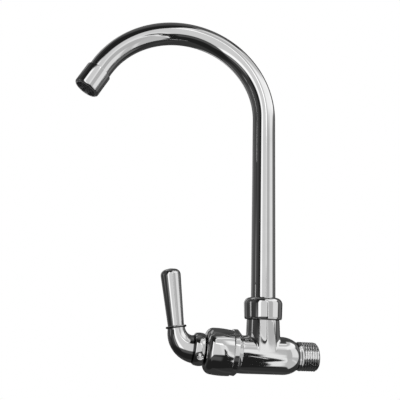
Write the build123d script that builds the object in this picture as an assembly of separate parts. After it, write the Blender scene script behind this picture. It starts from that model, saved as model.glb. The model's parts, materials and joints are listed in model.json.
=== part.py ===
from build123d import *
import os
from math import cos, radians, sin, tan

# Wall-mounted gooseneck faucet, in millimetres. X runs along the inlet into the wall, Z is up, and the
# origin is the centre of the inlet thread's root. The nozzle points away from the wall, towards -X.

# Inlet: G 1/2 pipe thread, drawn at its major diameter
inlet_thread_od = 20.955
inlet_thread_length = 13.7
inlet_lead = 1.5
inlet_neck_od = 20.0
inlet_neck_length = 2.7
inlet_bore = 14.5
inlet_mouth_chamfer = 0.8

# Spout tube
tube_od = 18.5
tube_wall = 1.0
tube_foot = 34.0
bend_height = 187.8
bend_radius = 72.2
bend_turn = 152.3
tube_tail = 8.0

# Fits between pieces, on the radius
thread_clearance = 0.05
turning_clearance = 0.1
fitted_clearance = 0.02
shadow_gap = 0.3
seal_clearance = 0.04
glide_clearance = 0.2

# Upright branch of the cast body, sized from the tube's end that turns in it
ferrule_wall = 0.75
branch_bore = tube_od + 2 * (ferrule_wall + turning_clearance)
branch_wall = 2.0
branch_thread_od = branch_bore + 2 * branch_wall
branch_step = 0.15
branch_od = branch_thread_od + 2 * branch_step
branch_draft = 0.35
branch_foot_od = branch_od + 2 * branch_draft
branch_fillet = 1.0
branch_thread_bottom = 24.9
branch_top = 36.9
branch_lead = 0.6
branch_bore_bottom = 16.0

# Barrel of the cast body
barrel_margin = 0.9
barrel_od = branch_foot_od + 2 * barrel_margin
shoulder_end_od = 20.7
shoulder_drop = (barrel_od - shoulder_end_od) / 2
shoulder_run_per_drop = 1.492
shoulder_round_per_drop = 5.714
shoulder_length = shoulder_run_per_drop * shoulder_drop
shoulder_round = shoulder_round_per_drop * shoulder_drop
spout_setback = 27.0
riser_bore = 14.0
riser_bottom = 5.5
gallery_bore = 6.0
gallery_height = 7.8
gallery_start = 12.0
gallery_end = 5.0
inlet_bore_stop = 9.0

# Valve head: its axis leaves the barrel's axis at a pivot and leans up towards the lever
head_tilt = 4.5
head_setback = 16.0
knuckle_radius = 40.0
seat_depth = 5.0
seat_bore = 8.4
seat_bore_reach = 26.0
chamber_od = 22.8
chamber_length = 11.6
flare_start = 2.0
flange_crest = 5.0
flange_rise = 3.05
flange_od = barrel_od + 2 * flange_rise
flange_taper = 0.25
flange_face_od = flange_od - 2 * flange_taper
flange_offset = 0.8
flange_face = 8.2
spigot_thread_od = 28.4
spigot_length = 6.8
spigot_lead = 0.4
port_bore = 18.6

# Screwed-in headwork with its ceramic discs
headwork_foot_gap = 1.2
gasket_thickness = 0.8
gasket_od = 23.6
hexagon_across_flats = 22.0
hexagon_height = 3.2
hexagon_chamfer = 0.6
headwork_neck_od = 14.0
headwork_length = 25.0
disc_pocket_od = 16.1
pocket_end = 8.0
window_width = 8.0
window_bottom = 3.7
window_height = 2.4
seal_height = 3.6
seal_bore = 9.2
backup_ring_bore = 8.4
fixed_disc_thickness = 2.8
moving_disc_thickness = 3.0
disc_slack = 0.3
port_inner_radius = 2.2
port_outer_radius = 6.2
port_angle = 80.0
key_width = 3.0
drive_slot_width = 3.1
drive_slot_length = 10.2
drive_slot_depth = 1.3

# Spindle with its seals, washer and clip
stem_od = 9.0
driver_start = 6.0
driver_end = 7.9
stem_groove_depth = 1.2
stem_groove_width = 2.0
stem_groove_starts = (10.5, 14.5)
washer_thickness = 0.4
washer_od = 12.4
clip_thickness = 0.7
clip_od = 12.4
clip_groove_depth = 0.7
clip_opening = 60.0
square_drive = 6.3
square_start = 26.7
square_length = 7.8

# Cap
cap_step = 0.3
cap_foot_od = flange_face_od - 2 * cap_step
cap_waist = 0.25
cap_waist_od = cap_foot_od + 2 * cap_waist
cap_crown = 0.6
cap_crown_od = cap_waist_od + 2 * cap_crown
cap_crown_height = 8.8
cap_end_od = cap_foot_od
cap_height = 19.7
cap_round = 5.5
cap_crown_round = 60.0
cap_end_wall = 2.0
cap_hole = 15.2
cap_bore = 29.2
cap_inner_round = 3.5
cap_edge_chamfer = 0.3

# Lever: hub, elbow, collar and grip
hub_width = 8.2
hub_foot_od = 22.4
hub_od = 24.2
hub_end_od = 21.8
hub_middle_round = 12.0
hub_end_round = 1.5
hub_foot_round = 0.8
elbow_root_od = 21.2
elbow_end_od = 12.9
elbow_radius = 15.5
elbow_overlap = 1.4
elbow_bulge = 0.6
elbow_sections = 6
grip_lean = 9.0
arm_end_length = 1.04
screw_angle = 115.0
screw_height = 3.5
screw_od = 5.0
screw_length = 6.0
screw_socket = 2.5
screw_socket_depth = 2.8
screw_point_chamfer = 0.7
screw_hole_chamfer = 0.8
collar_od = 15.2
collar_thickness = 1.6
collar_round = 0.7
grip_root_od = 11.8
grip_top_od = 15.4
grip_length = 42.0
grip_round = 4.5
grip_crown = 1.4
stud_od = 6.0
stud_depth = 7.2
stud_reach = 10.3

# Swivel joint between branch and spout
nut_bottom = 25.7
nut_height = 15.9
nut_wall = 1.55
nut_foot_od = branch_thread_od + 2 * nut_wall
nut_belt_rise = 0.45
nut_belt_od = nut_foot_od + 2 * nut_belt_rise
nut_belt_height = 1.3
nut_flare = 0.55
nut_od = nut_belt_od + 2 * nut_flare
nut_round = 4.6
nut_belt_round = 1.5
nut_foot_round = 0.2
nut_lip = 1.55
nut_hole_gap = 0.15
nut_hole = tube_od + 2 * nut_hole_gap
glide_thickness = 1.05
ferrule_foot = 22.0
ferrule_lip = 0.65
ferrule_bore = tube_od - 2 * (tube_wall + ferrule_lip)
ferrule_flange_height = 1.95
ferrule_seat = 1.3
ferrule_flange_od = branch_bore + 2 * ferrule_seat
ferrule_groove_depth = 1.3
ferrule_groove_od = branch_bore - 2 * (turning_clearance + ferrule_groove_depth)
ferrule_groove_width = 2.4
ferrule_groove_starts = (25.4, 30.2)
ferrule_lead = 0.8
seal_side_gap = 0.25

# Outlet and aerator, measured from the end of the bend along the tube's tail
outlet_spigot_start = 2.0
outlet_head_length = 8.0
outlet_wall = 1.05
outlet_bore = tube_od - 2 * (tube_wall + outlet_wall)
aerator_start = 5.0
aerator_length = 19.0
aerator_bore = tube_od + 2 * turning_clearance
aerator_wall = 1.15
aerator_od = aerator_bore + 2 * aerator_wall
aerator_lip = 1.05
aerator_rim_bore = aerator_bore - 2 * aerator_lip
aerator_rim = 1.5
aerator_top_round = 0.4
aerator_foot_round = 1.0
aerator_washer_thickness = 1.5
screen_thickness = 0.4
screen_hole = 1.2
screen_pitch = 1.9
screen_margin = 0.6
screen_reach = outlet_bore / 2 - screen_margin
insert_hole = 1.9
insert_pitch = (aerator_rim_bore / 2 - insert_hole) / 2

# Places that the sizes above give
thread_radius = inlet_thread_od / 2
barrel_radius = barrel_od / 2
pivot_x = -spout_setback - head_setback
knuckle_start = knuckle_radius * tan(radians(head_tilt / 2))
seat_face = -seat_depth
chamber_end = seat_face + chamber_length
spigot_end = flange_face + spigot_length
headwork_foot = seat_face + headwork_foot_gap
hexagon_start = spigot_end + gasket_thickness
hexagon_end = hexagon_start + hexagon_height
fixed_disc_start = seat_face + seal_height
fixed_disc_end = fixed_disc_start + fixed_disc_thickness
moving_disc_start = fixed_disc_end + fitted_clearance
moving_disc_end = moving_disc_start + moving_disc_thickness
moving_disc_slot = moving_disc_end - drive_slot_depth
stem_bore = stem_od + 2 * turning_clearance
washer_start = headwork_length + thread_clearance
clip_start = washer_start + washer_thickness
cap_end = flange_face + cap_height
hub_start = cap_end + shadow_gap
hub_end = hub_start + hub_width
arm_turn = 90 - head_tilt - grip_lean
nut_top = nut_bottom + nut_height
glide_top = nut_top - nut_lip
glide_bottom = glide_top - glide_thickness
flange_bottom = branch_top + thread_clearance
flange_top = flange_bottom + ferrule_flange_height
outlet_head_end = tube_tail + outlet_head_length
aerator_end = aerator_start + aerator_length
rim_face = aerator_end - aerator_rim
screen_start = outlet_head_end + aerator_washer_thickness
insert_start = screen_start + screen_thickness


def leaning(x, z, lean):
    """Place whose Z axis leans from upright towards -X by an angle in degrees."""
    return Pos(x, 0, z) * Rot(0, -lean, 0)


def bend_place(turn):
    """Place on the spout's bend after a turn in degrees, with Z along the tube."""
    across = bend_radius * (cos(radians(turn)) - 1)
    rise = bend_radius * sin(radians(turn))
    return leaning(across - spout_setback, bend_height + rise, turn)


def elbow_place(share):
    """Place on the lever's elbow after a share of its turn, with Z along the arm."""
    turn = radians(arm_turn * share)
    radius = elbow_radius + elbow_bulge * sin(radians(180 * share))
    up = elbow_radius - radius * cos(turn)
    out = hub_end - elbow_overlap + radius * sin(turn)
    return Pos(up, 0, out) * Rot(0, arm_turn * share, 0)


inlet = leaning(0, 0, -90)
upright = leaning(-spout_setback, 0, 0)
head = leaning(pivot_x, 0, 90 - head_tilt)
outlet = bend_place(bend_turn)
grip = head * elbow_place(1) * Pos(0, 0, arm_end_length)
screw = head * Pos(0, 0, hub_start + screw_height) * Rot(0, 0, -screw_angle) * Rot(0, 90, 0)


def turned(*corners):
    """Solid turned about Z. A corner is (radius, height) or (radius, height, round)."""
    rounds = [corner[2] if len(corner) == 3 else 0 for corner in corners]
    outline = FilletPolyline(*[corner[:2] for corner in corners], radius=rounds, close=True)
    return revolve(Plane.XZ * make_face(outline), Axis.Z)


def ring(outer, inner, bottom, top):
    """Plain ring between two diameters and two heights."""
    return turned((inner / 2, bottom), (outer / 2, bottom), (outer / 2, top), (inner / 2, top))


def rod(diameter, bottom, top):
    """Plain round rod between two heights."""
    return turned((0, bottom), (diameter / 2, bottom), (diameter / 2, top), (0, top))


def bar(width, depth, bottom, top):
    """Rectangular bar about Z between two heights."""
    return Pos(0, 0, bottom) * extrude(Rectangle(width, depth), top - bottom)


def hexagon(across_flats, bottom, top):
    """Six-sided bar about Z between two heights."""
    outline = RegularPolygon(across_flats / 2, 6, major_radius=False)
    return Pos(0, 0, bottom) * extrude(outline, top - bottom)


def wedge(reach, angle, bottom, top):
    """Slice about Z that opens towards +X by an angle in degrees."""
    half = reach * tan(radians(angle / 2))
    outline = make_face(Polyline((0, 0), (reach, -half), (reach, half), close=True))
    return Pos(0, 0, bottom) * extrude(outline, top - bottom)


def seal_ring(outer, inner, bottom, top):
    """Rubber ring with rounded edges between two diameters and two heights."""
    edge = (outer - inner) / 8
    return turned(
        (inner / 2, bottom, edge),
        (outer / 2, bottom, edge),
        (outer / 2, top, edge),
        (inner / 2, top, edge),
    )


# Cast body

def barrel():
    """Barrel, domed shoulder, neck and threaded inlet, turned about the inlet's axis."""
    start = pivot_x + knuckle_start
    shoulder_end = -inlet_neck_length
    neck = inlet_neck_od / 2
    lead = thread_radius - neck
    return inlet * turned(
        (0, start),
        (barrel_radius, start),
        (barrel_radius, shoulder_end - shoulder_length, shoulder_round),
        (shoulder_end_od / 2, shoulder_end),
        (neck, shoulder_end),
        (neck, -lead),
        (thread_radius, 0),
        (thread_radius, inlet_thread_length - inlet_lead),
        (thread_radius - inlet_lead, inlet_thread_length),
        (0, inlet_thread_length),
    )


def branch():
    """Upright branch with its male thread for the swivel nut."""
    thread = branch_thread_od / 2
    return upright * turned(
        (0, 0),
        (branch_foot_od / 2, 0),
        (branch_foot_od / 2, barrel_radius),
        (branch_od / 2, branch_thread_bottom),
        (thread, branch_thread_bottom),
        (thread, branch_top - branch_lead),
        (thread - branch_lead, branch_top),
        (0, branch_top),
    )


def knuckle():
    """Short bend that turns the barrel's axis into the valve head's axis."""
    start = pivot_x + knuckle_start
    section = leaning(start, 0, 90) * Circle(barrel_radius)
    return revolve(section, Axis((start, 0, knuckle_radius), (0, 1, 0)), head_tilt)


def head_blank():
    """Barrel and spigot on the head's axis, with the flared flange a little above that axis."""
    spigot = spigot_thread_od / 2
    shank = turned(
        (0, knuckle_start),
        (barrel_radius, knuckle_start),
        (barrel_radius, flange_face),
        (spigot, flange_face),
        (spigot, spigot_end - spigot_lead),
        (spigot - spigot_lead, spigot_end),
        (0, spigot_end),
    )
    flange = turned(
        (0, flare_start - flange_offset),
        (barrel_radius - flange_offset, flare_start - flange_offset),
        (flange_od / 2, flange_crest),
        (flange_face_od / 2, flange_face),
        (0, flange_face),
    )
    return head * (shank + Pos(flange_offset, 0, 0) * flange)


def inlet_passage():
    """Bore from the wall side, and the narrower way on to the valve seat."""
    mouth = inlet_bore / 2 + inlet_mouth_chamfer
    bore = inlet * turned(
        (0, inlet_bore_stop - spout_setback),
        (inlet_bore / 2, inlet_bore_stop - spout_setback),
        (inlet_bore / 2, inlet_thread_length - inlet_mouth_chamfer),
        (mouth, inlet_thread_length),
        (0, inlet_thread_length),
    )
    return bore + head * rod(seat_bore, -seat_bore_reach, seat_face)


def valve_cavity():
    """Chamber round the headwork's windows, and the threaded port outside it."""
    return head * (rod(chamber_od, seat_face, chamber_end) + rod(port_bore, chamber_end, spigot_end))


def spout_passage():
    """Gallery from the chamber over the seat way, and the riser up through the branch."""
    level = Pos(-spout_setback, 0, gallery_height) * leaning(0, 0, 90)
    gallery = level * rod(gallery_bore, gallery_end, gallery_start)
    riser = rod(riser_bore, riser_bottom, branch_bore_bottom)
    socket = rod(branch_bore, branch_bore_bottom, branch_top)
    return gallery + upright * (riser + socket)


def tee_body():
    cross = barrel() + branch()
    seam = [
        edge
        for edge in cross.edges()
        if edge.geom_type not in (GeomType.LINE, GeomType.CIRCLE)
        and 0 < edge.center().Z < barrel_od
        and abs(edge.center().X + spout_setback) < branch_od
    ]
    blank = fillet(seam, branch_fillet) + knuckle() + head_blank()
    return blank - inlet_passage() - valve_cavity() - spout_passage()


# Headwork and its seals

def cartridge_housing():
    shell = rod(port_bore - 2 * thread_clearance, headwork_foot, hexagon_start)
    flats = hexagon(hexagon_across_flats, hexagon_start, hexagon_end)
    shell += chamfer(flats.edges().group_by(Axis.Z)[-1], hexagon_chamfer)
    shell += rod(headwork_neck_od, hexagon_end, headwork_length)
    shell -= rod(disc_pocket_od, headwork_foot, pocket_end)
    shell -= rod(stem_bore, pocket_end, headwork_length)
    window_top = window_bottom + window_height
    shell -= bar(port_bore, window_width, window_bottom, window_top)
    shell -= bar(window_width, port_bore, window_bottom, window_top)
    shell -= bar(key_width + 2 * fitted_clearance, port_bore, headwork_foot, fixed_disc_end)
    return head * shell


def housing_gasket():
    return head * ring(gasket_od, port_bore, spigot_end, hexagon_start)


def seat_seal():
    return head * ring(disc_pocket_od - 2 * fitted_clearance, seal_bore, seat_face, fixed_disc_start)


def seat_backup_ring():
    return head * ring(seal_bore - 2 * fitted_clearance, backup_ring_bore, seat_face, fixed_disc_start)


def disc_ports(bottom, top):
    """Two opposite openings for a ceramic disc, on its X axis."""
    band = ring(2 * port_outer_radius, 2 * port_inner_radius, bottom, top)
    slice_one = wedge(2 * port_outer_radius, port_angle, bottom, top)
    return band & (slice_one + Rot(0, 0, 180) * slice_one)


def fixed_disc():
    """Ceramic disc with two keys that stop it turning in the headwork."""
    disc = rod(disc_pocket_od - 2 * fitted_clearance, fixed_disc_start, fixed_disc_end)
    keys = bar(key_width, port_bore, fixed_disc_start, fixed_disc_end)
    keys &= rod(port_bore - 2 * turning_clearance, fixed_disc_start, fixed_disc_end)
    return head * (disc + keys - disc_ports(fixed_disc_start, fixed_disc_end))


def moving_disc():
    """Ceramic disc, shown shut, with its ports a quarter turn away from the fixed disc's."""
    disc = rod(disc_pocket_od - 2 * disc_slack, moving_disc_start, moving_disc_end)
    disc -= Rot(0, 0, 90) * disc_ports(moving_disc_start, moving_disc_end)
    disc -= bar(drive_slot_width, drive_slot_length, moving_disc_slot, moving_disc_end)
    return head * disc


def spindle():
    """Stem with a tongue for the moving disc, two seal grooves, a clip groove and a square end."""
    gap = 2 * fitted_clearance
    tongue_start = moving_disc_slot + fitted_clearance
    shaft = bar(drive_slot_width - gap, drive_slot_length - gap, tongue_start, driver_start)
    shaft += rod(disc_pocket_od - 2 * disc_slack, driver_start, driver_end)
    shaft += rod(stem_od, driver_end, square_start)
    square = bar(square_drive, square_drive, square_start, square_start + square_length)
    shaft += Rot(0, 0, -screw_angle) * square
    for start in stem_groove_starts:
        root = stem_od - 2 * stem_groove_depth
        shaft -= ring(stem_od, root, start, start + stem_groove_width)
    clip_root = stem_od - 2 * clip_groove_depth
    shaft -= ring(stem_od, clip_root, clip_start, clip_start + clip_thickness + fitted_clearance)
    return head * shaft


def stem_seal(start):
    """Seal ring in the spindle's groove that starts at a height."""
    outer = stem_bore - 2 * seal_clearance
    inner = stem_od - 2 * stem_groove_depth + 2 * fitted_clearance
    return head * seal_ring(outer, inner, start + seal_side_gap, start + stem_groove_width - seal_side_gap)


def spindle_o_ring_inner():
    return stem_seal(stem_groove_starts[0])


def spindle_o_ring_outer():
    return stem_seal(stem_groove_starts[1])


def thrust_washer():
    return head * ring(washer_od, stem_bore, washer_start, clip_start - fitted_clearance)


def spindle_clip():
    """Open ring that snaps into the spindle's groove and keeps it in the headwork."""
    inner = stem_od - 2 * clip_groove_depth + 2 * fitted_clearance
    clip_end = clip_start + clip_thickness
    closed = ring(clip_od, inner, clip_start, clip_end)
    return head * (closed - wedge(clip_od, clip_opening, clip_start, clip_end))


def bonnet_cap():
    """Crowned cap, screwed over the spigot against the flange."""
    thread = spigot_thread_od / 2 + thread_clearance
    bore_end = cap_end - cap_end_wall
    middle = flange_face + cap_height / 2
    return head * turned(
        (thread, flange_face),
        (cap_foot_od / 2 - cap_edge_chamfer, flange_face),
        (cap_foot_od / 2, flange_face + cap_edge_chamfer),
        (cap_waist_od / 2, flange_face + 2 * cap_edge_chamfer),
        (cap_crown_od / 2, flange_face + cap_crown_height, cap_crown_round),
        (cap_end_od / 2, cap_end, cap_round),
        (cap_hole / 2, cap_end),
        (cap_hole / 2, bore_end),
        (cap_bore / 2, bore_end, cap_inner_round),
        (cap_bore / 2, middle),
        (thread, middle),
    )


# Lever

def elbow():
    """Tapering elbow, lofted through circles that swell outwards in the middle of the bend."""
    shares = [index / (elbow_sections - 1) for index in range(elbow_sections)]
    return loft([
        elbow_place(share) * Circle((elbow_root_od + (elbow_end_od - elbow_root_od) * share) / 2)
        for share in shares
    ])


def lever_arm():
    hub = turned(
        (0, hub_start),
        (hub_foot_od / 2, hub_start, hub_foot_round),
        (hub_od / 2, (hub_start + hub_end) / 2, hub_middle_round),
        (hub_end_od / 2, hub_end, hub_end_round),
        (0, hub_end),
    )
    arm = head * (hub + elbow() + elbow_place(1) * rod(elbow_end_od, 0, arm_end_length))
    socket = square_drive + 2 * fitted_clearance
    socket_end = square_start + square_length + shadow_gap
    hole = screw_od / 2 + thread_clearance
    arm -= head * Rot(0, 0, -screw_angle) * bar(socket, socket, hub_start, socket_end)
    mouth = hub_od / 2
    arm -= screw * turned(
        (0, 0),
        (hole, 0),
        (hole, mouth - screw_hole_chamfer),
        (hole + screw_hole_chamfer, mouth),
        (0, mouth),
    )
    arm -= grip * rod(stud_od + 2 * thread_clearance, -stud_depth - shadow_gap, 0)
    return arm


def grub_screw():
    """Socket set screw whose chamfered point bears on the square of the spindle."""
    point = square_drive / 2 + fitted_clearance
    end = point + screw_length
    radius = screw_od / 2
    blank = turned(
        (0, point),
        (radius - screw_point_chamfer, point),
        (radius, point + screw_point_chamfer),
        (radius, end),
        (0, end),
    )
    return screw * (blank - hexagon(screw_socket, end - screw_socket_depth, end))


def lever_collar():
    hole = stud_od / 2 + thread_clearance
    return grip * turned(
        (hole, 0),
        (collar_od / 2, 0, collar_round),
        (collar_od / 2, collar_thickness, collar_round),
        (hole, collar_thickness),
    )


def lever_grip():
    """Tapered grip with a rounded, slightly crowned top."""
    foot = collar_thickness
    crown_edge = foot + grip_length - grip_crown
    blank = turned(
        (0, foot),
        (grip_root_od / 2, foot),
        (grip_top_od / 2, crown_edge, grip_round),
        (0, foot + grip_length),
    )
    return grip * (blank - rod(stud_od + 2 * thread_clearance, foot, stud_reach + shadow_gap))


def grip_stud():
    return grip * rod(stud_od, -stud_depth, stud_reach)


# Spout

def spout_tube():
    """Round tube: straight riser, one large bend and a short straight tail."""
    section = Circle(tube_od / 2) - Circle(tube_od / 2 - tube_wall)
    riser = upright * Pos(0, 0, tube_foot) * extrude(section, bend_height - tube_foot)
    bend_axis = Axis((-spout_setback - bend_radius, 0, bend_height), (0, -1, 0))
    bend = revolve(bend_place(0) * section, bend_axis, bend_turn)
    return riser + bend + outlet * extrude(section, tube_tail)


def spout_ferrule():
    """Turned end brazed on the tube: two seal grooves and the flange that the nut holds down."""
    outer = branch_bore / 2 - turning_clearance
    socket = tube_od / 2 + fitted_clearance
    body = turned(
        (ferrule_bore / 2, ferrule_foot),
        (outer - ferrule_lead, ferrule_foot),
        (outer, ferrule_foot + ferrule_lead),
        (outer, flange_bottom),
        (ferrule_flange_od / 2, flange_bottom),
        (ferrule_flange_od / 2, flange_top),
        (socket, flange_top),
        (socket, tube_foot),
        (ferrule_bore / 2, tube_foot),
    )
    for start in ferrule_groove_starts:
        body -= ring(branch_bore, ferrule_groove_od, start, start + ferrule_groove_width)
    return upright * body


def spout_seal(start):
    """Seal ring in the ferrule's groove that starts at a height."""
    outer = branch_bore - 2 * seal_clearance
    inner = ferrule_groove_od + 2 * fitted_clearance
    top = start + ferrule_groove_width - seal_side_gap
    return upright * seal_ring(outer, inner, start + seal_side_gap, top)


def spout_o_ring_lower():
    return spout_seal(ferrule_groove_starts[0])


def spout_o_ring_upper():
    return spout_seal(ferrule_groove_starts[1])


def spout_glide_ring():
    outer = branch_thread_od - 2 * glide_clearance
    return upright * ring(outer, nut_hole + 2 * thread_clearance, glide_bottom, glide_top)


def spout_nut():
    """Swivel nut with a rounded shoulder, a slight taper and an inner lip over the glide ring."""
    thread = branch_thread_od / 2 + thread_clearance
    return upright * turned(
        (thread, nut_bottom),
        (nut_foot_od / 2, nut_bottom, nut_foot_round),
        (nut_belt_od / 2, nut_bottom + nut_belt_height, nut_belt_round),
        (nut_od / 2, nut_top, nut_round),
        (nut_hole / 2, nut_top),
        (nut_hole / 2, glide_top),
        (thread, glide_top),
    )


# Outlet

def outlet_ferrule():
    """Ring brazed in the tube's end, with a male thread for the aerator's housing."""
    return outlet * turned(
        (outlet_bore / 2, outlet_spigot_start),
        (tube_od / 2 - tube_wall - fitted_clearance, outlet_spigot_start),
        (tube_od / 2 - tube_wall - fitted_clearance, tube_tail),
        (tube_od / 2, tube_tail),
        (tube_od / 2, outlet_head_end),
        (outlet_bore / 2, outlet_head_end),
    )


def aerator_nut():
    return outlet * turned(
        (aerator_bore / 2, aerator_start),
        (aerator_od / 2, aerator_start, aerator_top_round),
        (aerator_od / 2, aerator_end, aerator_foot_round),
        (aerator_rim_bore / 2, aerator_end),
        (aerator_rim_bore / 2, rim_face),
        (aerator_bore / 2, rim_face),
    )


def aerator_washer():
    return outlet * ring(aerator_bore - 2 * turning_clearance, outlet_bore, outlet_head_end, screen_start)


def aerator_screen():
    """Thin disc with a grid of square holes."""
    disc = Circle(aerator_bore / 2 - turning_clearance)
    count = int(2 * screen_reach / screen_pitch) + 1
    for place in GridLocations(screen_pitch, screen_pitch, count, count).locations:
        if place.position.length < screen_reach:
            disc -= place * Rectangle(screen_hole, screen_hole)
    return outlet * Pos(0, 0, screen_start) * extrude(disc, screen_thickness)


def aerator_insert():
    """Plastic jet former with a hole in the middle and two rings of holes round it."""
    plug = Circle(aerator_bore / 2 - turning_clearance) - Circle(insert_hole / 2)
    for lap in (1, 2):
        for place in PolarLocations(lap * insert_pitch, 6 * lap).locations:
            plug -= place * Circle(insert_hole / 2)
    return outlet * Pos(0, 0, insert_start) * extrude(plug, rim_face - insert_start)


nodes = (
    tee_body, cartridge_housing, housing_gasket, seat_seal, seat_backup_ring, fixed_disc, bonnet_cap,
    moving_disc, spindle, thrust_washer, spindle_o_ring_inner, spindle_o_ring_outer, spindle_clip,
    lever_arm, grub_screw, lever_collar, lever_grip, grip_stud,
    spout_nut, spout_glide_ring, spout_ferrule, spout_o_ring_lower, spout_o_ring_upper, spout_tube,
    outlet_ferrule, aerator_nut, aerator_washer, aerator_screen, aerator_insert,
)
os.makedirs("parts", exist_ok=True)
for make in nodes:
    export_step(make(), f"parts/{make.__name__}.step")
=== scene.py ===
import bmesh
import bpy
import json
import numpy as np
from mathutils import Matrix


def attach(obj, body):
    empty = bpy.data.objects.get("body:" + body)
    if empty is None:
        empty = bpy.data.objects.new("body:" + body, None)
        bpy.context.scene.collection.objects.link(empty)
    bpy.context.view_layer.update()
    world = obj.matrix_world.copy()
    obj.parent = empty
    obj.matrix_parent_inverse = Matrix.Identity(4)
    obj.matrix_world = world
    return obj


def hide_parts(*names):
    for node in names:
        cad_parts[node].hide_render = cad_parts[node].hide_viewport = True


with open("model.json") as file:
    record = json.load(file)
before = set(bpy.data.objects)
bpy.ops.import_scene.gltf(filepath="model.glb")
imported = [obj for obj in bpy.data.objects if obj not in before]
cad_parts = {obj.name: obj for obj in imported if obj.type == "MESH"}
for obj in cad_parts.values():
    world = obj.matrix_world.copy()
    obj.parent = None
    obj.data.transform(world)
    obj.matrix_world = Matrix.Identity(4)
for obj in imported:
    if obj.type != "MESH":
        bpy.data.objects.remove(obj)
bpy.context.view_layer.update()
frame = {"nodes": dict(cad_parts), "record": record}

# Camera. It stands in front of the faucet, a little to the nozzle's side and level with the body,
# and looks up along the spout, as a photographer does who wants the whole gooseneck in view.
lens_mm = 46.76
sensor_mm = 36.0
nearest_seen = 0.01
camera_place = np.array([-0.1324, -0.3885, 0.005])
camera_yaw, camera_pitch, camera_roll = 0.1385, 0.2731, 0.0386
ahead = np.array([
    np.sin(camera_yaw) * np.cos(camera_pitch),
    np.cos(camera_yaw) * np.cos(camera_pitch),
    np.sin(camera_pitch),
])
level = np.array([np.cos(camera_yaw), -np.sin(camera_yaw), 0.0])
across = np.cos(camera_roll) * level + np.sin(camera_roll) * np.cross(level, ahead)
above = np.cross(across, ahead)
camera_turn = Matrix(np.stack([across, above, -ahead], axis=1)).to_4x4()
camera = bpy.data.objects.new("camera", bpy.data.cameras.new("camera"))
bpy.context.scene.collection.objects.link(camera)
camera.data.lens = lens_mm
camera.data.sensor_width = sensor_mm
camera.data.clip_start = nearest_seen
camera.matrix_world = Matrix.Translation(camera_place) @ camera_turn
bpy.context.scene.camera = camera
bpy.context.scene.view_settings.view_transform = "Standard"


# Studio. Soft light comes from a small room round the faucet, which only the polished chrome sees: a
# wide light wall in front with a brighter strip on its left, a tall light box on the right, a dark gap
# between them, and dark sides and ground. The camera sees a plain white sweep and a pale round floor.
class Signal:
    """A socket of a shader graph. Python's operators on it add Math nodes to the graph."""

    def __init__(self, graph, socket):
        self.graph, self.socket = graph, socket

    def __add__(self, other):
        return self.graph.math("ADD", self, other)

    def __radd__(self, other):
        return self.graph.math("ADD", other, self)

    def __sub__(self, other):
        return self.graph.math("SUBTRACT", self, other)

    def __rsub__(self, other):
        return self.graph.math("SUBTRACT", other, self)

    def __mul__(self, other):
        return self.graph.math("MULTIPLY", self, other)

    def __rmul__(self, other):
        return self.graph.math("MULTIPLY", other, self)

    def __truediv__(self, other):
        return self.graph.math("DIVIDE", self, other)


class Graph:
    """A shader graph. node adds one node: its type, the values or links of its sockets, and its settings."""

    def __init__(self, tree):
        self.tree = tree
        tree.nodes.clear()

    def node(self, kind, sockets=None, out=0, **settings):
        new = self.tree.nodes.new(kind)
        for name, value in settings.items():
            setattr(new, name, value)
        for name, value in (sockets or {}).items():
            if isinstance(value, Signal):
                self.tree.links.new(value.socket, new.inputs[name])
            else:
                new.inputs[name].default_value = value
        return Signal(self, new.outputs[out]) if len(new.outputs) else None

    def math(self, operation, *values):
        return self.node("ShaderNodeMath", dict(enumerate(values)), operation=operation)

    def ramp(self, value, low, high):
        """0 below low and 1 above high, with a smooth rise between; falls when low is above high."""
        return self.node("ShaderNodeMapRange", {"Value": value, "From Min": low, "From Max": high},
                         interpolation_type="SMOOTHSTEP")

    def band(self, value, low, high, soft):
        """1 between low and high, with edges that fade over soft."""
        return self.ramp(value, low - soft, low + soft) * self.ramp(value, high + soft, high - soft)

    def place(self):
        """The point on the skin, in the object's own frame."""
        return self.node("ShaderNodeTexCoord", out="Object")

    def parts(self, vector):
        """The X, Y and Z of a vector."""
        split = self.node("ShaderNodeSeparateXYZ", {0: vector}).socket.node
        return [Signal(self, socket) for socket in split.outputs]

    def noise(self, where, scale, detail):
        return self.node("ShaderNodeTexNoise", {"Vector": where, "Scale": scale, "Detail": detail})

    def mix(self, share, first, second):
        """A colour between first and second. A Mix node's colour sockets are told apart by number only:
        6 and 7 take the two colours, and 2 gives the result."""
        return self.node("ShaderNodeMix", {0: share, 6: first, 7: second}, out=2, data_type="RGBA")

    def surface(self, sockets):
        """Closes the graph with a Principled shader."""
        shader = self.node("ShaderNodeBsdfPrincipled", sockets)
        self.node("ShaderNodeOutputMaterial", {"Surface": shader})


def new_finish(name):
    """An empty material and its graph."""
    finish = bpy.data.materials.new(name)
    finish.use_nodes = True
    return finish, Graph(finish.node_tree)


def stage_piece(name, points, faces, tone, glow):
    """A plain stage mesh that glows a little and casts no shadow."""
    mesh = bpy.data.meshes.new(name)
    mesh.from_pydata(points, [], faces)
    piece = bpy.data.objects.new(name, mesh)
    bpy.context.scene.collection.objects.link(piece)
    finish, graph = new_finish(name)
    graph.surface({
        "Base Color": (tone, tone, tone, 1.0),
        "Roughness": 0.9,
        "Specular IOR Level": 0.0,
        "Emission Color": (1.0, 1.0, 1.0, 1.0),
        "Emission Strength": glow,
    })
    mesh.materials.append(finish)
    piece.visible_shadow = False
    return piece


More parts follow.
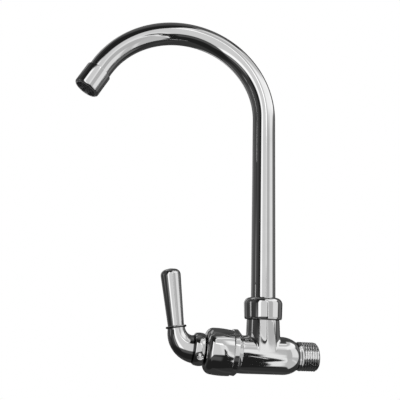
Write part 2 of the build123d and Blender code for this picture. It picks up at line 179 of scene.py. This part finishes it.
def ball(radius, centre, rings=45, columns=96):
    """Points and faces of a closed ball: radius * (cos h cos t, cos h sin t, sin h) round the centre. Its
    two poles are small flat lids, which start at the pole height h."""
    pole = 88.0
    tall = np.radians(np.linspace(-pole, pole, rings))[:, None]
    round_it = np.linspace(0, 2 * np.pi, columns, endpoint=False)[None]
    points = radius * np.stack([
        np.cos(tall) * np.cos(round_it), np.cos(tall) * np.sin(round_it), np.sin(tall) + 0 * round_it,
    ], axis=-1) + np.array(centre)
    index = np.arange(rings * columns).reshape(rings, columns)
    after = np.roll(index, -1, 1)
    walls = np.stack([index[:-1], index[1:], after[1:], after[:-1]], axis=-1).reshape(-1, 4)
    lids = [index[0].tolist(), index[-1][::-1].tolist()]
    return points.reshape(-1, 3).tolist(), walls.tolist() + lids


middle_x = -0.085
floor_level = -0.12
floor_radius = 0.45
floor_corners = 96
spread = np.linspace(0, 2 * np.pi, floor_corners, endpoint=False)
floor_rim = np.stack([
    floor_radius * np.cos(spread) + middle_x,
    floor_radius * np.sin(spread),
    np.full(floor_corners, floor_level),
], axis=1)
floor = stage_piece("floor", floor_rim.tolist(), [list(range(floor_corners))], tone=0.9, glow=0.6)
floor.visible_glossy = False
sweep_radius = 6.0
sweep = stage_piece("sweep", *ball(sweep_radius, (0, 0, 0)), tone=0.0, glow=1.0)
sweep.visible_glossy = False
sweep.visible_diffuse = False
sweep.visible_transmission = False

room_centre = (middle_x, 0.0, 0.12)
room_radius = 0.945
room = stage_piece("room", *ball(room_radius, room_centre), tone=0.0, glow=1.0)
room.visible_camera = False

# a place on the room's wall is told by two angles in degrees, seen from the room's middle: turn is 0
# straight in front of the faucet and grows to the right, and rise is 0 level and grows upwards
graph = Graph(room.data.materials[0].node_tree)
band, ramp, math = graph.band, graph.ramp, graph.math
inward = graph.node("ShaderNodeVectorMath", {0: graph.place(), 1: room_centre}, operation="SUBTRACT")
inward = graph.node("ShaderNodeVectorMath", {0: inward}, operation="NORMALIZE")
east, north, up = graph.parts(inward)
degrees = 57.2958
turn = math("ARCTAN2", east, north * -1.0) * degrees
rise = math("ARCSINE", up) * degrees
aside = math("ABSOLUTE", turn)

# the light box's left edge bends outwards in steps: each row adds a width while the rise goes from the
# second value to the third; it leans away steeply near the ground and near the top
edge = 16.7
for wider, start, stop in ((1.4, 2.0, -6.0), (2.8, -13.0, -25.0), (3.4, -21.0, -35.0)):
    edge = edge + wider * ramp(rise, start, stop)
deep = math("MAXIMUM", -41.0 - rise, 0.0)
edge = edge + deep * deep * 0.02 + math("MAXIMUM", -44.0 - rise, 0.0) * 0.32
high = math("MINIMUM", math("MAXIMUM", (rise - 28.0) / 42.0, 0.0), 1.5)
edge = edge + high * high * high * high * 42.0 - ramp(rise, 22.0, 34.0) * 14.4
inset = turn - edge
box = (
    ramp(inset, -0.6, 0.6) * ramp(turn - 22.0 * ramp(rise, 24.0, 34.0), 87.0, 82.0)
    * ramp(rise, 65.0, 59.0) * ramp(rise, -66.0, -60.0)
)
box_light = (
    0.45
    + 0.30 * ramp(inset, 5.0, 2.5)
    + 0.40 * band(rise, 28.0, 48.0, 4.0) * ramp(turn, 20.0, 34.0)
    + 0.24 * band(turn, 48.0, 81.0, 2.0) * band(rise, -12.0, 28.0, 3.0)
    - 0.04 * band(turn, 24.0, 47.0, 2.0) * band(rise, -20.0, 28.0, 3.0)
    + 0.18 * band(rise + turn * 0.2, -18.0, -12.0, 3.0) * ramp(turn, 45.0, 55.0)
)

# the light wall ends at the gap on its right, leans with its height on its left, and has slanting upper
# and lower edges; an apron of faint light lies under it, and a thin slanting strip stands in the gap
lean_turn = turn - rise * 0.14
gap_side = math("MAXIMUM", ramp(turn, 14.9, 13.5), ramp(rise, 3.0, 6.0) * ramp(turn, 17.5, 15.9))
panel = (
    gap_side * ramp(lean_turn, -42.0, -38.0)
    * ramp(rise + turn * 0.19, 37.0, 34.0) * ramp(rise - turn * 0.195, -26.5, -20.5)
)
panel_light = 0.58 + 0.38 * ramp(lean_turn, -22.0, -26.0) + 0.10 * ramp(turn, 8.0, 12.0)
apron = ramp(turn, -53.0, -47.0) * ramp(turn, 14.0, 8.0) * band(rise, -48.0, -30.0, 5.0)
strip = (
    band(rise + turn * 3.2, 37.2, 39.4, 0.8) * band(turn, 16.5, 20.3, 0.4) * ramp(rise, -12.0, -15.0)
)

# smaller patches of light, one a row: its strength, then from, to and softness of its turn and its rise
patches = (
    (0.40, (18.0, 64.0, 3.0), (57.0, 70.0, 1.5)),       # the box's bright top
    (0.10, (92.0, 122.0, 8.0), (-30.0, 50.0, 8.0)),     # right side
    (0.40, (-176.0, -163.0, 2.5), (-6.0, 24.0, 5.0)),   # narrow light behind
    (0.10, (-150.0, -136.0, 3.0), (-20.0, 58.0, 6.0)),  # tall faint light behind, on the left
    (0.20, (-96.0, -88.0, 2.0), (-12.0, 12.0, 6.0)),    # small window on the left
    (0.03, (-140.0, -100.0, 15.0), (-30.0, 30.0, 8.0)),
    (0.25, (-175.0, -115.0, 10.0), (46.0, 62.0, 5.0)),  # above and behind
    (0.024, (-85.0, -56.0, 5.0), (-34.0, 40.0, 6.0)),
)
room_dark = 0.013
glow = room_dark + box * box_light + 0.70 * strip + panel * panel_light + apron * 0.06
for strength, turn_band, rise_band in patches:
    glow = glow + strength * band(turn, *turn_band) * band(rise, *rise_band)
glow = (
    glow
    + 0.18 * band(lean_turn, -56.0, -44.0, 4.0) * band(rise, -34.0, -4.0, 6.0)
    + 0.026 * ramp(rise, -4.0, 4.0) * ramp(aside, 60.0, 85.0)
    + 0.05 * ramp(rise, 62.0, 74.0)
    + 0.016 * band(turn, 60.0, 150.0, 8.0) * ramp(rise, -20.0, -40.0)
    + 0.020 * ramp(aside, 125.0, 150.0)
)
room_power = 1.25
light = graph.node("ShaderNodeEmission", {"Color": (1.0, 1.0, 1.0, 1.0), "Strength": glow * room_power})
graph.node("ShaderNodeOutputMaterial", {"Surface": light})


# Cast tee body. Chrome-plated brass: a barrel with a domed shoulder and a G 1/2 thread on the wall's
# side, an upright branch for the spout, and a flanged head on a knuckle that leans the valve up. It
# screws into the wall's fitting and carries every other piece.
def rounded(corners, loop=False, steps=10):
    """Outline through (radius, height, round) corners, in millimetres. Each round is the arc that touches
    both straight runs: its centre lies on the corner's bisector, round / sin(half the angle) away."""
    corners = [np.array([*corner, 0.0][:3], float) for corner in corners]
    count = len(corners)
    points = []
    for index, corner in enumerate(corners):
        place, radius = corner[:2], corner[2]
        if radius == 0 or (not loop and index in (0, count - 1)):
            points.append(place[None])
            continue
        back = corners[index - 1][:2] - place
        on = corners[(index + 1) % count][:2] - place
        back, on = back / np.linalg.norm(back), on / np.linalg.norm(on)
        half = np.arccos(np.clip(back @ on, -1, 1)) / 2
        centre = place + (back + on) / np.linalg.norm(back + on) * radius / np.sin(half)
        first = place + back * radius / np.tan(half) - centre
        last = place + on * radius / np.tan(half) - centre
        share = np.linspace(0, 1, steps)[:, None]
        swing = np.pi - 2 * half
        arc = (np.sin((1 - share) * swing) * first + np.sin(share * swing) * last) / np.sin(swing)
        points.append(centre + arc)
    return np.concatenate(points)


def smooth(mesh, angle):
    """Smooth shading that stays sharp over edges steeper than the angle in degrees."""
    mesh.shade_smooth()
    mesh.set_sharp_from_angle(angle=np.radians(angle))


def skin(name, grid, loop=True):
    """Closed mesh over a grid of points in millimetres that wraps round its second index. A loop also
    wraps round its first index; otherwise the first and last rings are closed to their middle points.
    Faces turn outwards: where the enclosed volume comes out negative, all are reversed."""
    def six_volumes(faces, *corners):
        one, two, three = (points[faces[:, corner]] for corner in corners)
        return np.einsum("ij,ij->i", one, np.cross(two, three)).sum()

    metre = 0.001
    sharp_edge = 32.0
    rows, columns = grid.shape[:2]
    index = np.arange(rows * columns).reshape(rows, columns)
    points = grid.reshape(-1, 3) * metre
    below = index if loop else index[:-1]
    over = np.roll(index, -1, 0) if loop else index[1:]
    quads = np.stack([below, np.roll(below, -1, 1), np.roll(over, -1, 1), over], axis=-1).reshape(-1, 4)
    volume = six_volumes(quads, 0, 1, 2) + six_volumes(quads, 0, 2, 3)
    faces = quads.tolist()
    if not loop:
        first, last = rows * columns, rows * columns + 1
        points = np.vstack([points, grid[0].mean(0) * metre, grid[-1].mean(0) * metre])
        start = np.stack([np.roll(index[0], -1), index[0], np.full(columns, first)], axis=1)
        stop = np.stack([index[-1], np.roll(index[-1], -1), np.full(columns, last)], axis=1)
        fans = np.vstack([start, stop])
        volume += six_volumes(fans, 0, 1, 2)
        faces += fans.tolist()
    if volume < 0:
        faces = [face[::-1] for face in faces]
    mesh = bpy.data.meshes.new(name)
    mesh.from_pydata(points.tolist(), [], faces)
    smooth(mesh, sharp_edge)
    piece = bpy.data.objects.new(name, mesh)
    bpy.context.scene.collection.objects.link(piece)
    return piece


def axis_frame(origin, lean):
    """Origin, axis, upward side and sideways side of an axis that leans from upright towards -X."""
    lean = np.radians(lean)
    return (
        np.array(origin, float),
        np.array([-np.sin(lean), 0, np.cos(lean)]),
        np.array([np.cos(lean), 0, np.sin(lean)]),
        np.array([0.0, 1.0, 0.0]),
    )


def spokes(side, sideways, angle):
    """Unit vectors round an axis: cos angle * side + sin angle * sideways."""
    return np.cos(angle)[:, None] * side + np.sin(angle)[:, None] * sideways


def turned(outline, place, angle):
    """Points of a turned surface: origin + height * axis + radius * spoke, for each (radius, height)."""
    origin, axis, side, sideways = place
    radius, height = outline[:, 0][:, None, None], outline[:, 1][:, None, None]
    return origin + height * axis + radius * spokes(side, sideways, angle)[None]


def dress(piece, node, body, finish):
    """The piece stands for its CAD node, rides with that node's body and takes its finish."""
    piece.data.materials.clear()
    piece.data.materials.append(finish)
    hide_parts(node)
    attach(piece, body)


def cut(piece, tool, operation):
    """Joins the tool to the piece or takes it away, and leaves a plain mesh without slivers."""
    weld = 4e-6
    change = piece.modifiers.new("cut", "BOOLEAN")
    change.operation, change.object, change.solver = operation, tool, "EXACT"
    bpy.context.view_layer.update()
    made = bpy.data.meshes.new_from_object(piece.evaluated_get(bpy.context.evaluated_depsgraph_get()))
    work = bmesh.new()
    work.from_mesh(made)
    bmesh.ops.remove_doubles(work, verts=work.verts, dist=weld)
    bmesh.ops.dissolve_degenerate(work, edges=work.edges, dist=weld)
    work.to_mesh(made)
    work.free()
    piece.modifiers.clear()
    piece.data = made
    bpy.data.objects.remove(tool)


def plating(name, tone=0.80, rough=0.035, thread_from=None, shade_bands=()):
    """Polished chrome: faint orange peel, fine wiping marks and a trace of dust in its roughness. A cut
    thread is brighter from the X that thread_from gives in metres. Each shade band, a frame with a height
    and half a width in millimetres, is painted shade: a near-black ring in the colour at a joint where shade
    falls."""
    # the last of these tones is the near-black of the painted shade laid in bands at joints
    smeared, thread_tone, painted_shade_tone = 0.93, (0.95, 0.95, 0.95, 1.0), (0.02, 0.02, 0.022, 1.0)
    wipe_scale = (4000.0, 4000.0, 500.0)
    finish, graph = new_finish(name)
    where = graph.place()
    smear = graph.noise(where, 70.0, 3.0)
    haze = graph.noise(where, 900.0, 2.0)
    wipe = graph.noise(graph.node("ShaderNodeMapping", {"Vector": where, "Scale": wipe_scale}), 1.0, 2.0)
    roughness = rough + 0.03 * graph.ramp(smear, 0.45, 0.75) + 0.02 * graph.ramp(haze, 0.5, 0.8)
    roughness = roughness + 0.015 * graph.ramp(wipe, 0.5, 0.7)
    smeared_tone = tone * smeared
    colour = graph.mix(
        graph.ramp(smear, 0.3, 0.8) * 0.5,
        (tone, tone, tone, 1.0),
        (smeared_tone, smeared_tone, smeared_tone, 1.0),
    )
    peel = graph.noise(where, 260.0, 1.0)
    bump = graph.node("ShaderNodeBump", {"Height": peel, "Strength": 0.05, "Distance": 0.0001})
    if thread_from is not None:
        threaded = graph.ramp(graph.parts(where)[0], thread_from, thread_from + 0.001)
        roughness = roughness + 0.01 * threaded
        colour = graph.mix(threaded * 0.8, colour, thread_tone)
    # painted shade: each band darkens the colour to near black across a joint between parts, where shade
    # falls
    for (origin, axis, *_), height, half in shade_bands:
        along_it = graph.node("ShaderNodeVectorMath", {0: where, 1: tuple(axis)}, out=1,
                              operation="DOT_PRODUCT")
        middle = 0.001 * (float(np.dot(origin, axis)) + height)
        painted_shade_band = graph.band(along_it, middle - 0.001 * half, middle + 0.001 * half, 0.0003 * half)
        colour = graph.mix(painted_shade_band * 0.93, colour, painted_shade_tone)
    graph.surface({"Base Color": colour, "Metallic": 1.0, "Roughness": roughness, "Normal": bump})
    return finish


barrel_radius = 13.5
thread_crest = 10.4775
thread_depth = 1.162
thread_pitch = 1.814
thread_length = 13.7
thread_full = 12.2
spout_axis = -27.0
pivot = -43.0
head_tilt = 4.5
knuckle_radius = 40.0
knuckle_start = knuckle_radius * np.tan(np.radians(head_tilt / 2))
flange_offset = 0.8
flange_face = 8.2
around = np.linspace(0, 2 * np.pi, 192, endpoint=False)
wall_frame = axis_frame((0, 0, 0), -90.0)
inlet_frame = (wall_frame[0], wall_frame[1], -wall_frame[2], wall_frame[3])
head_frame = axis_frame((pivot, 0, 0), 90.0 - head_tilt)
upright_frame = axis_frame((spout_axis, 0, 0), 0.0)

# the thread's skin: the radius falls from crest to root and back once per pitch along the axis, the
# phase turns once round with the angle, and the groove fades in from the neck and out at the lead
thread_rings = 150
crest_edge = 0.965
fade_start, fade_length = 0.3, 1.6
along = np.linspace(thread_length, 0, thread_rings)
phase = along[:, None] / thread_pitch + around[None] / (2 * np.pi)
groove = np.arccos(crest_edge * np.cos(2 * np.pi * phase)) / np.pi
fade = np.clip((along - fade_start) / fade_length, 0, 1)[:, None]
thread_radius = thread_crest - thread_depth * fade * (groove - groove.min())
thread_radius = np.minimum(thread_radius, thread_crest + thread_full - along[:, None])
inlet_spokes = spokes(inlet_frame[2], inlet_frame[3], around)
thread = along[:, None, None] * inlet_frame[1] + thread_radius[:, :, None] * inlet_spokes[None]

# the neck, the domed shoulder and the straight barrel, then the knuckle, whose rings stand square on an
# arc that leaves the barrel level and rises to the head's tilt
neck_radius = 10.0
shoulder = rounded([
    (neck_radius, -0.4775), (neck_radius, -2.7), (10.35, -2.7),
    (barrel_radius, -7.4, 18.0), (barrel_radius, -14.0),
], steps=24)
barrel_rings = 40
lengths = np.linspace(-15.0, pivot + knuckle_start, barrel_rings)
barrel = np.concatenate([shoulder, np.stack([np.full(barrel_rings, barrel_radius), lengths], axis=1)])
bending = np.radians(np.linspace(0, head_tilt, 5)[1:-1])[:, None, None]
arc_start = np.array([pivot + knuckle_start, 0, 0])
knuckle = (
    arc_start
    + knuckle_radius * np.concatenate([-np.sin(bending), 0 * bending, 1 - np.cos(bending)], axis=-1)
    + barrel_radius * (
        np.cos(around)[:, None] * np.concatenate([np.sin(bending), 0 * bending, np.cos(bending)], axis=-1)
        + np.sin(around)[:, None] * np.array([0.0, 1.0, 0.0])
    )
)

# the flange's skin is the further out of two circles at each angle: the shank's own, and the flange's,
# which is drawn round a centre a little above the axis
flange_outline = rounded([
    (12.7, 1.2), (16.55, 5.0, 0.25), (16.3, 8.15, 0.15), (16.2, flange_face),
], steps=8)
flare_rings = 20
flare = np.stack([np.linspace(12.7, 16.3, flare_rings), np.linspace(1.2, 4.75, flare_rings)], axis=1)
flange_outline = np.concatenate([flare, flange_outline[1:]])
flange_outline = flange_outline[flange_outline[:, 1] > knuckle_start]
flange_radius = flange_outline[:, 0][:, None]
reach = flange_offset * np.cos(around) + np.sqrt(flange_radius ** 2 - (flange_offset * np.sin(around)) ** 2)
reach = np.maximum(reach, barrel_radius)
head_spokes = spokes(head_frame[2], head_frame[3], around)
flange_height = flange_outline[:, 1][:, None, None]
flange = head_frame[0] + flange_height * head_frame[1] + reach[:, :, None] * head_spokes[None]

inside = np.array([
    (14.2, flange_face), (14.2, 14.6), (13.8, 15.0),  # the spigot under the cap
    (9.3, 15.0), (9.3, 6.6),                          # the headwork's bore
    (11.4, 6.6), (11.4, -5.0),                        # the chamber round the headwork
    (4.2, -5.0), (4.2, -24.0),                        # the seat and the passage to the inlet
])
inlet_bore = rounded([(7.25, -18.0), (7.25, 12.9), (8.05, thread_length)])
tee_body = skin("tee_body_cast", np.concatenate([
    thread,
    turned(barrel, inlet_frame, around),
    knuckle,
    flange,
    turned(inside, head_frame, around),
    turned(inlet_bore, inlet_frame, around),
]))


def branch_skin(radius, top_radius, top):
    """The upright branch. A quadratic curve blends its foot into the barrel at each angle: it starts
    upright on the branch, ends on the barrel's circle z = sqrt(R^2 - y^2) along that circle's slope, and
    its middle point is where those two directions meet. The blend is narrow in line with the barrel and
    wide in front, where the two skins are nearly parallel, and its end dips just under the skin."""
    dip, least_width, edge_gap = 0.03, 1.2, 0.08
    ledge_radius, ledge_height, chamfer = 12.1, 24.9, 0.6
    out = np.abs(np.sin(around))
    under = barrel_radius - dip
    foot = np.minimum(radius + least_width + least_width * out, (under - edge_gap) / np.maximum(out, 0.01))
    foot_height = np.sqrt(under ** 2 - (foot * out) ** 2)
    corner_height = foot_height + (foot - radius) * foot * out ** 2 / foot_height
    start_height = corner_height + 1.0 + 0.3 * (corner_height - foot_height)
    share = np.linspace(0, 1, 15)[:, None]
    early, middle, late = (1 - share) ** 2, 2 * share * (1 - share), share ** 2
    blend_radius = late * radius + (middle + 0 * out) * radius + early * foot
    blend_height = late * start_height + middle * corner_height + early * foot_height
    levels = np.linspace(0, 1, 22)[1:, None]
    wall_height = start_height + levels * (ledge_height - start_height)
    wall_radius = radius + levels * (top_radius - radius) + 0.0 * out
    head = np.array([(ledge_radius, ledge_height), (ledge_radius, top - chamfer), (11.5, top)])
    ring_radius = np.concatenate([
        [foot - 2 * least_width], blend_radius, wall_radius, head[:, :1] + 0.0 * out,
    ])
    ring_height = np.concatenate([
        [foot_height - least_width], blend_height, wall_height, head[:, 1:] + 0.0 * out,
    ])
    return np.stack([
        spout_axis + ring_radius * np.cos(around), ring_radius * np.sin(around), ring_height,
    ], axis=-1)


# the branch is joined on, then the riser's bore, the ferrule's seat and the gallery to the chamber are cut
branch = skin("branch", branch_skin(radius=12.6, top_radius=12.25, top=36.9), loop=False)
cut(tee_body, branch, "UNION")
gallery_frame = axis_frame((spout_axis, 0, 7.8), 90.0)
for bore_radius, start, stop, place, angles in (
    (7.0, 5.5, 17.0, upright_frame, around),
    (10.1, 16.0, 40.0, upright_frame, around),
    (3.0, 5.0, 12.0, gallery_frame, around[::2]),
):
    drill_outline = np.array([(bore_radius, start), (bore_radius, stop)])
    cut(tee_body, skin("drill", turned(drill_outline, place, angles), loop=False), "DIFFERENCE")
smooth(tee_body.data, 38.0)
# painted shade: dark bands round the branch just under the swivel nut, and round the neck between the thread
# and the shoulder
body_shade_bands = (
    (upright_frame, 25.3, 0.5),
    (inlet_frame, -2.1, 0.5),
)
dress(tee_body, "tee_body", "body", plating("body_chrome", thread_from=-0.0012, shade_bands=body_shade_bands))


# Bonnet cap. A crowned brass cap, turned and chrome-plated, screwed over the body's spigot up to the
# flange; its rounded end leaves a hole for the spindle.
bonnet_cap = skin("bonnet_cap_turned", turned(rounded([
    (14.25, flange_face), (15.7, flange_face), (16.0, 8.5, 0.2), (16.25, 8.8, 0.2), (16.85, 17.0, 60.0),
    (16.0, 27.9, 5.5), (7.6, 27.9, 0.3), (7.6, 25.9), (14.6, 25.9, 3.5), (14.6, 18.05), (14.25, 18.05),
], loop=True, steps=22), head_frame, around))
dress(bonnet_cap, "bonnet_cap", "body", plating("cap_chrome"))


# Swivel nut. Turned brass, chrome-plated: a soft shoulder above, a slight taper below, and an inner lip
# that keeps the spout's flange down on the branch.
spout_nut = skin("spout_nut_turned", turned(rounded([
    (12.15, 25.7), (13.65, 25.7, 0.3), (14.1, 27.0, 1.5), (14.65, 41.6, 4.6), (9.4, 41.6, 0.3),
    (9.4, 40.05), (12.15, 40.05),
], loop=True, steps=22), upright_frame, around))
dress(spout_nut, "spout_nut", "body", plating("nut_chrome"))


# Spout. One drawn brass tube, 18.5 mm outside, bent over a former into the gooseneck, polished and
# plated after bending; its foot is brazed into the swivel ferrule.
tube_radius = 9.25
tube_wall = 1.0
tube_foot = 34.0
bend_height = 187.8
bend_radius = 72.2
bend_turn = 152.3
tail_length = 8.0
tail_rings = 8

# the tube's skin: centre line + radius * spoke, where the spokes lean with the line; the line climbs
# straight, follows an arc that starts upright, and runs on straight to the outlet
riser = np.linspace(tube_foot, bend_height, 60)[:, None]
bend = np.radians(np.linspace(0, bend_turn, 200)[1:])[:, None]
tail = np.linspace(0, tail_length, tail_rings)[1:, None]
tube_lean = np.concatenate([0 * riser, bend, 0 * tail + bend[-1]])
tube_line = np.concatenate([
    np.concatenate([spout_axis + 0 * riser, 0 * riser, riser], axis=1),
    np.concatenate([
        spout_axis - bend_radius * (1 - np.cos(bend)), 0 * bend, bend_height + bend_radius * np.sin(bend),
    ], axis=1),
    np.concatenate([
        spout_axis - bend_radius * (1 - np.cos(bend[-1])) - tail * np.sin(bend[-1]),
        0 * tail,
        bend_height + bend_radius * np.sin(bend[-1]) + tail * np.cos(bend[-1]),
    ], axis=1),
])
tube_side = np.concatenate([np.cos(tube_lean), 0 * tube_lean, np.sin(tube_lean)], axis=1)
tube_spokes = spokes(tube_side[:, None], np.array([0.0, 1.0, 0.0]), around)
tube_outside = tube_line[:, None] + tube_radius * tube_spokes
tube_inside = (tube_line[:, None] + (tube_radius - tube_wall) * tube_spokes)[::-4]
spout_tube = skin("spout_tube_bent", np.concatenate([tube_outside, tube_inside]))
dress(spout_tube, "spout_tube", "spout", plating("tube_chrome"))


# Aerator housing. A plain turned and plated sleeve, screwed on the spout's end, with a rounded rim that
# holds the jet former.
outlet_frame = axis_frame(tube_line[-tail_rings], bend_turn)
aerator_nut = skin("aerator_nut_turned", turned(rounded([
    (9.35, 5.0), (10.5, 5.0, 0.4), (10.5, 24.0, 1.7), (8.3, 24.0, 0.4), (8.3, 22.5), (9.35, 22.5),
], loop=True, steps=14), outlet_frame, around))
dress(aerator_nut, "aerator_nut", "spout", plating("aerator_chrome"))


# Lever arm. Cast and plated brass: a barrel-shaped hub that fits the spindle's square, and an elbow
# that thins as it turns up to the grip. A threaded hole in the hub takes the set screw.
elbow_radius = 15.5
elbow_bulge = 0.6
elbow_start = 35.0
elbow_root, arm_tip = 10.4, 6.45
tip_length = 1.04
grip_lean = 9.0
hub = rounded([
    (8.0, 28.2), (11.2, 28.2, 1.6), (12.1, 32.3, 11.0), (10.9, 36.4, 1.8), (8.0, 36.4),
], steps=26)

# the elbow's skin: rings square on an arc that leaves the hub level and turns up to the grip; the arc
# swells a little half way and the rings thin evenly from root to tip
share = np.linspace(0, 1, 64)[:, None]
turned_up = np.radians(90.0 - head_tilt - grip_lean) * share
swell = elbow_radius + elbow_bulge * np.sin(np.pi * share)
elbow_up = elbow_radius - swell * np.cos(turned_up)
elbow_out = elbow_start + swell * np.sin(turned_up)
ring_size = elbow_root + (arm_tip - elbow_root) * share
origin, outward, upward, sideways = head_frame
elbow_line = origin + elbow_up * upward + elbow_out * outward
arm_side = np.cos(turned_up) * upward - np.sin(turned_up) * outward
arm_axis = np.sin(turned_up) * upward + np.cos(turned_up) * outward
elbow = elbow_line[:, None] + ring_size[:, :, None] * spokes(arm_side[:, None], sideways, around)
arm_end = elbow_line[-1] + tip_length * arm_axis[-1]
arm_rim = arm_end + arm_tip * spokes(arm_side[-1], sideways, around)
lever_arm = skin("lever_arm_cast", turned(hub, head_frame, around), loop=False)
cut(lever_arm, skin("elbow", np.concatenate([elbow, arm_rim[None]]), loop=False), "UNION")

# three holes are cut: the set screw's with its countersink, the square's and the grip stud's
screw_turn = 115.0
screw_height = 31.7
screw_angle = np.radians(screw_turn)
screw_axis = np.cos(screw_angle) * upward - np.sin(screw_angle) * sideways
screw_frame = (
    origin + screw_height * outward,
    screw_axis,
    outward,
    np.cross(screw_axis, outward),
)
square_corner = 4.483
square_angles = np.radians(np.array([45, 135, 225, 315]) - screw_turn)
stud_radius = 3.05
grip_frame = (arm_end, arm_axis[-1], arm_side[-1], sideways)
for name, outline, place, angles in (
    ("screw_hole", [(2.55, 1.0), (2.55, 11.3), (3.35, 12.1), (4.35, 13.1)], screw_frame, around[::3]),
    ("square_hole", [(square_corner, 27.0), (square_corner, 34.8)], head_frame, square_angles),
    ("stud_hole", [(stud_radius, -7.5), (stud_radius, 1.0)], grip_frame, around[::3]),
):
    cut(lever_arm, skin(name, turned(np.array(outline), place, angles), loop=False), "DIFFERENCE")
smooth(lever_arm.data, 35.0)
# painted shade: dark bands at both ends of the hub, beside the cap and where the elbow joins it
arm_shade_bands = (
    (head_frame, 28.6, 0.5),
    (head_frame, 36.7, 0.7),
)
dress(lever_arm, "lever_arm", "lever", plating("arm_chrome", shade_bands=arm_shade_bands))


# Set screw. A steel screw with a hexagon socket, which the photo shows bright; it screws into the hub,
# and its point bears on the spindle's square.
def hexagon(radius, height):
    """Points of a hexagon with the given distance from its middle to its flats."""
    wedge = np.mod(around, np.pi / 3) - np.pi / 6
    return np.stack([radius / np.cos(wedge), np.full(len(around), height)], axis=1)


def circle(radius, height):
    """Points of a circle, as hexagon gives them."""
    return np.ones(len(around))[:, None] * [radius, height]


def shaped(rings, place, angle):
    """Points of a bar whose radius changes with the angle, from one row of (radius, height) per ring."""
    origin, axis, side, sideways = place
    rings = np.stack(rings)
    return origin + rings[:, :, 1:] * axis + rings[:, :, :1] * spokes(side, sideways, angle)[None]


grub_screw = skin("set_screw", shaped([
    hexagon(0.4, 6.37), hexagon(1.25, 6.37), hexagon(1.25, 9.0), hexagon(1.4, 9.17),
    circle(2.2, 9.17), circle(2.5, 8.9), circle(2.5, 3.87), circle(1.8, 3.17), circle(0.5, 3.17),
], screw_frame, around), loop=False)
dress(grub_screw, "grub_screw", "lever", plating("screw_steel", tone=0.92, rough=0.06))


# Collar. A thin brass ring with rounded edges, turned and plated; the stud clamps it between the arm
# and the grip.
collar_height = 1.6
lever_collar = skin("lever_collar_turned", turned(rounded([
    (stud_radius, 0.0), (7.6, 0.0, 0.7), (7.6, collar_height, 0.7), (stud_radius, collar_height),
], loop=True, steps=12), grip_frame, around))
# painted shade: a dark band round the collar's edge against the arm
collar_shade_bands = ((grip_frame, 0.3, 0.75),)
dress(lever_collar, "lever_collar", "lever", plating("collar_chrome", shade_bands=collar_shade_bands))


# Grip. A tapered brass handle, turned, polished and plated, screwed on the arm's stud; its end is
# rounded over into a low crown.
hole_depth = 11.9 - collar_height
lever_grip = skin("lever_grip_turned", turned(rounded([
    (0.5, hole_depth), (stud_radius, hole_depth), (stud_radius, collar_height), (5.9, collar_height, 0.25),
    (7.7, 42.2, 4.5), (0.5, 43.55),
], steps=26), grip_frame, around), loop=False)
dress(lever_grip, "lever_grip", "lever", plating("grip_chrome"))


# Inner pieces that stay as the CAD gives them: turned brass, lapped ceramic, moulded rubber and plastic,
# and bright steel, each with the marks that its making leaves.
def plain_finish(name, tone, second, rough, metallic, scale, relief):
    """A finish whose colour and roughness vary over a fine grain, with a slight relief."""
    finish, graph = new_finish(name)
    where = graph.place()
    grain = graph.noise(where, scale, 4.0)
    patch = graph.noise(where, scale / 12, 2.0)
    colour = graph.mix(graph.ramp(grain * 0.6 + patch * 0.4, 0.35, 0.65), (*tone, 1.0), (*second, 1.0))
    bump = graph.node("ShaderNodeBump", {"Height": grain, "Strength": relief, "Distance": 0.0001})
    graph.surface({
        "Base Color": colour, "Metallic": metallic, "Roughness": rough + 0.15 * grain, "Normal": bump,
    })
    return finish


# slot: name, two tones, roughness, metallic, grain scale, relief
inner_finishes = {slot: plain_finish(*values) for slot, values in {
    "brass": ("turned_brass", (0.72, 0.53, 0.22), (0.80, 0.62, 0.30), 0.18, 1.0, 1800.0, 0.15),
    "ceramic": ("lapped_ceramic", (0.86, 0.86, 0.83), (0.92, 0.92, 0.90), 0.08, 0.0, 900.0, 0.03),
    "rubber": ("moulded_rubber", (0.012, 0.012, 0.013), (0.025, 0.025, 0.027), 0.55, 0.0, 2500.0, 0.3),
    "plastic": ("moulded_plastic", (0.022, 0.022, 0.024), (0.035, 0.035, 0.037), 0.45, 0.0, 1500.0, 0.1),
    "steel": ("bright_steel", (0.45, 0.45, 0.46), (0.58, 0.58, 0.59), 0.22, 1.0, 2000.0, 0.12),
}.items()}
inner_finishes["chrome"] = plating("spare_chrome")
slots = {row["node"]: row["material_slot"] for row in frame["record"]["subparts"]}
for name, node in frame["nodes"].items():
    node.data.materials.clear()
    node.data.materials.append(inner_finishes[slots[name]])
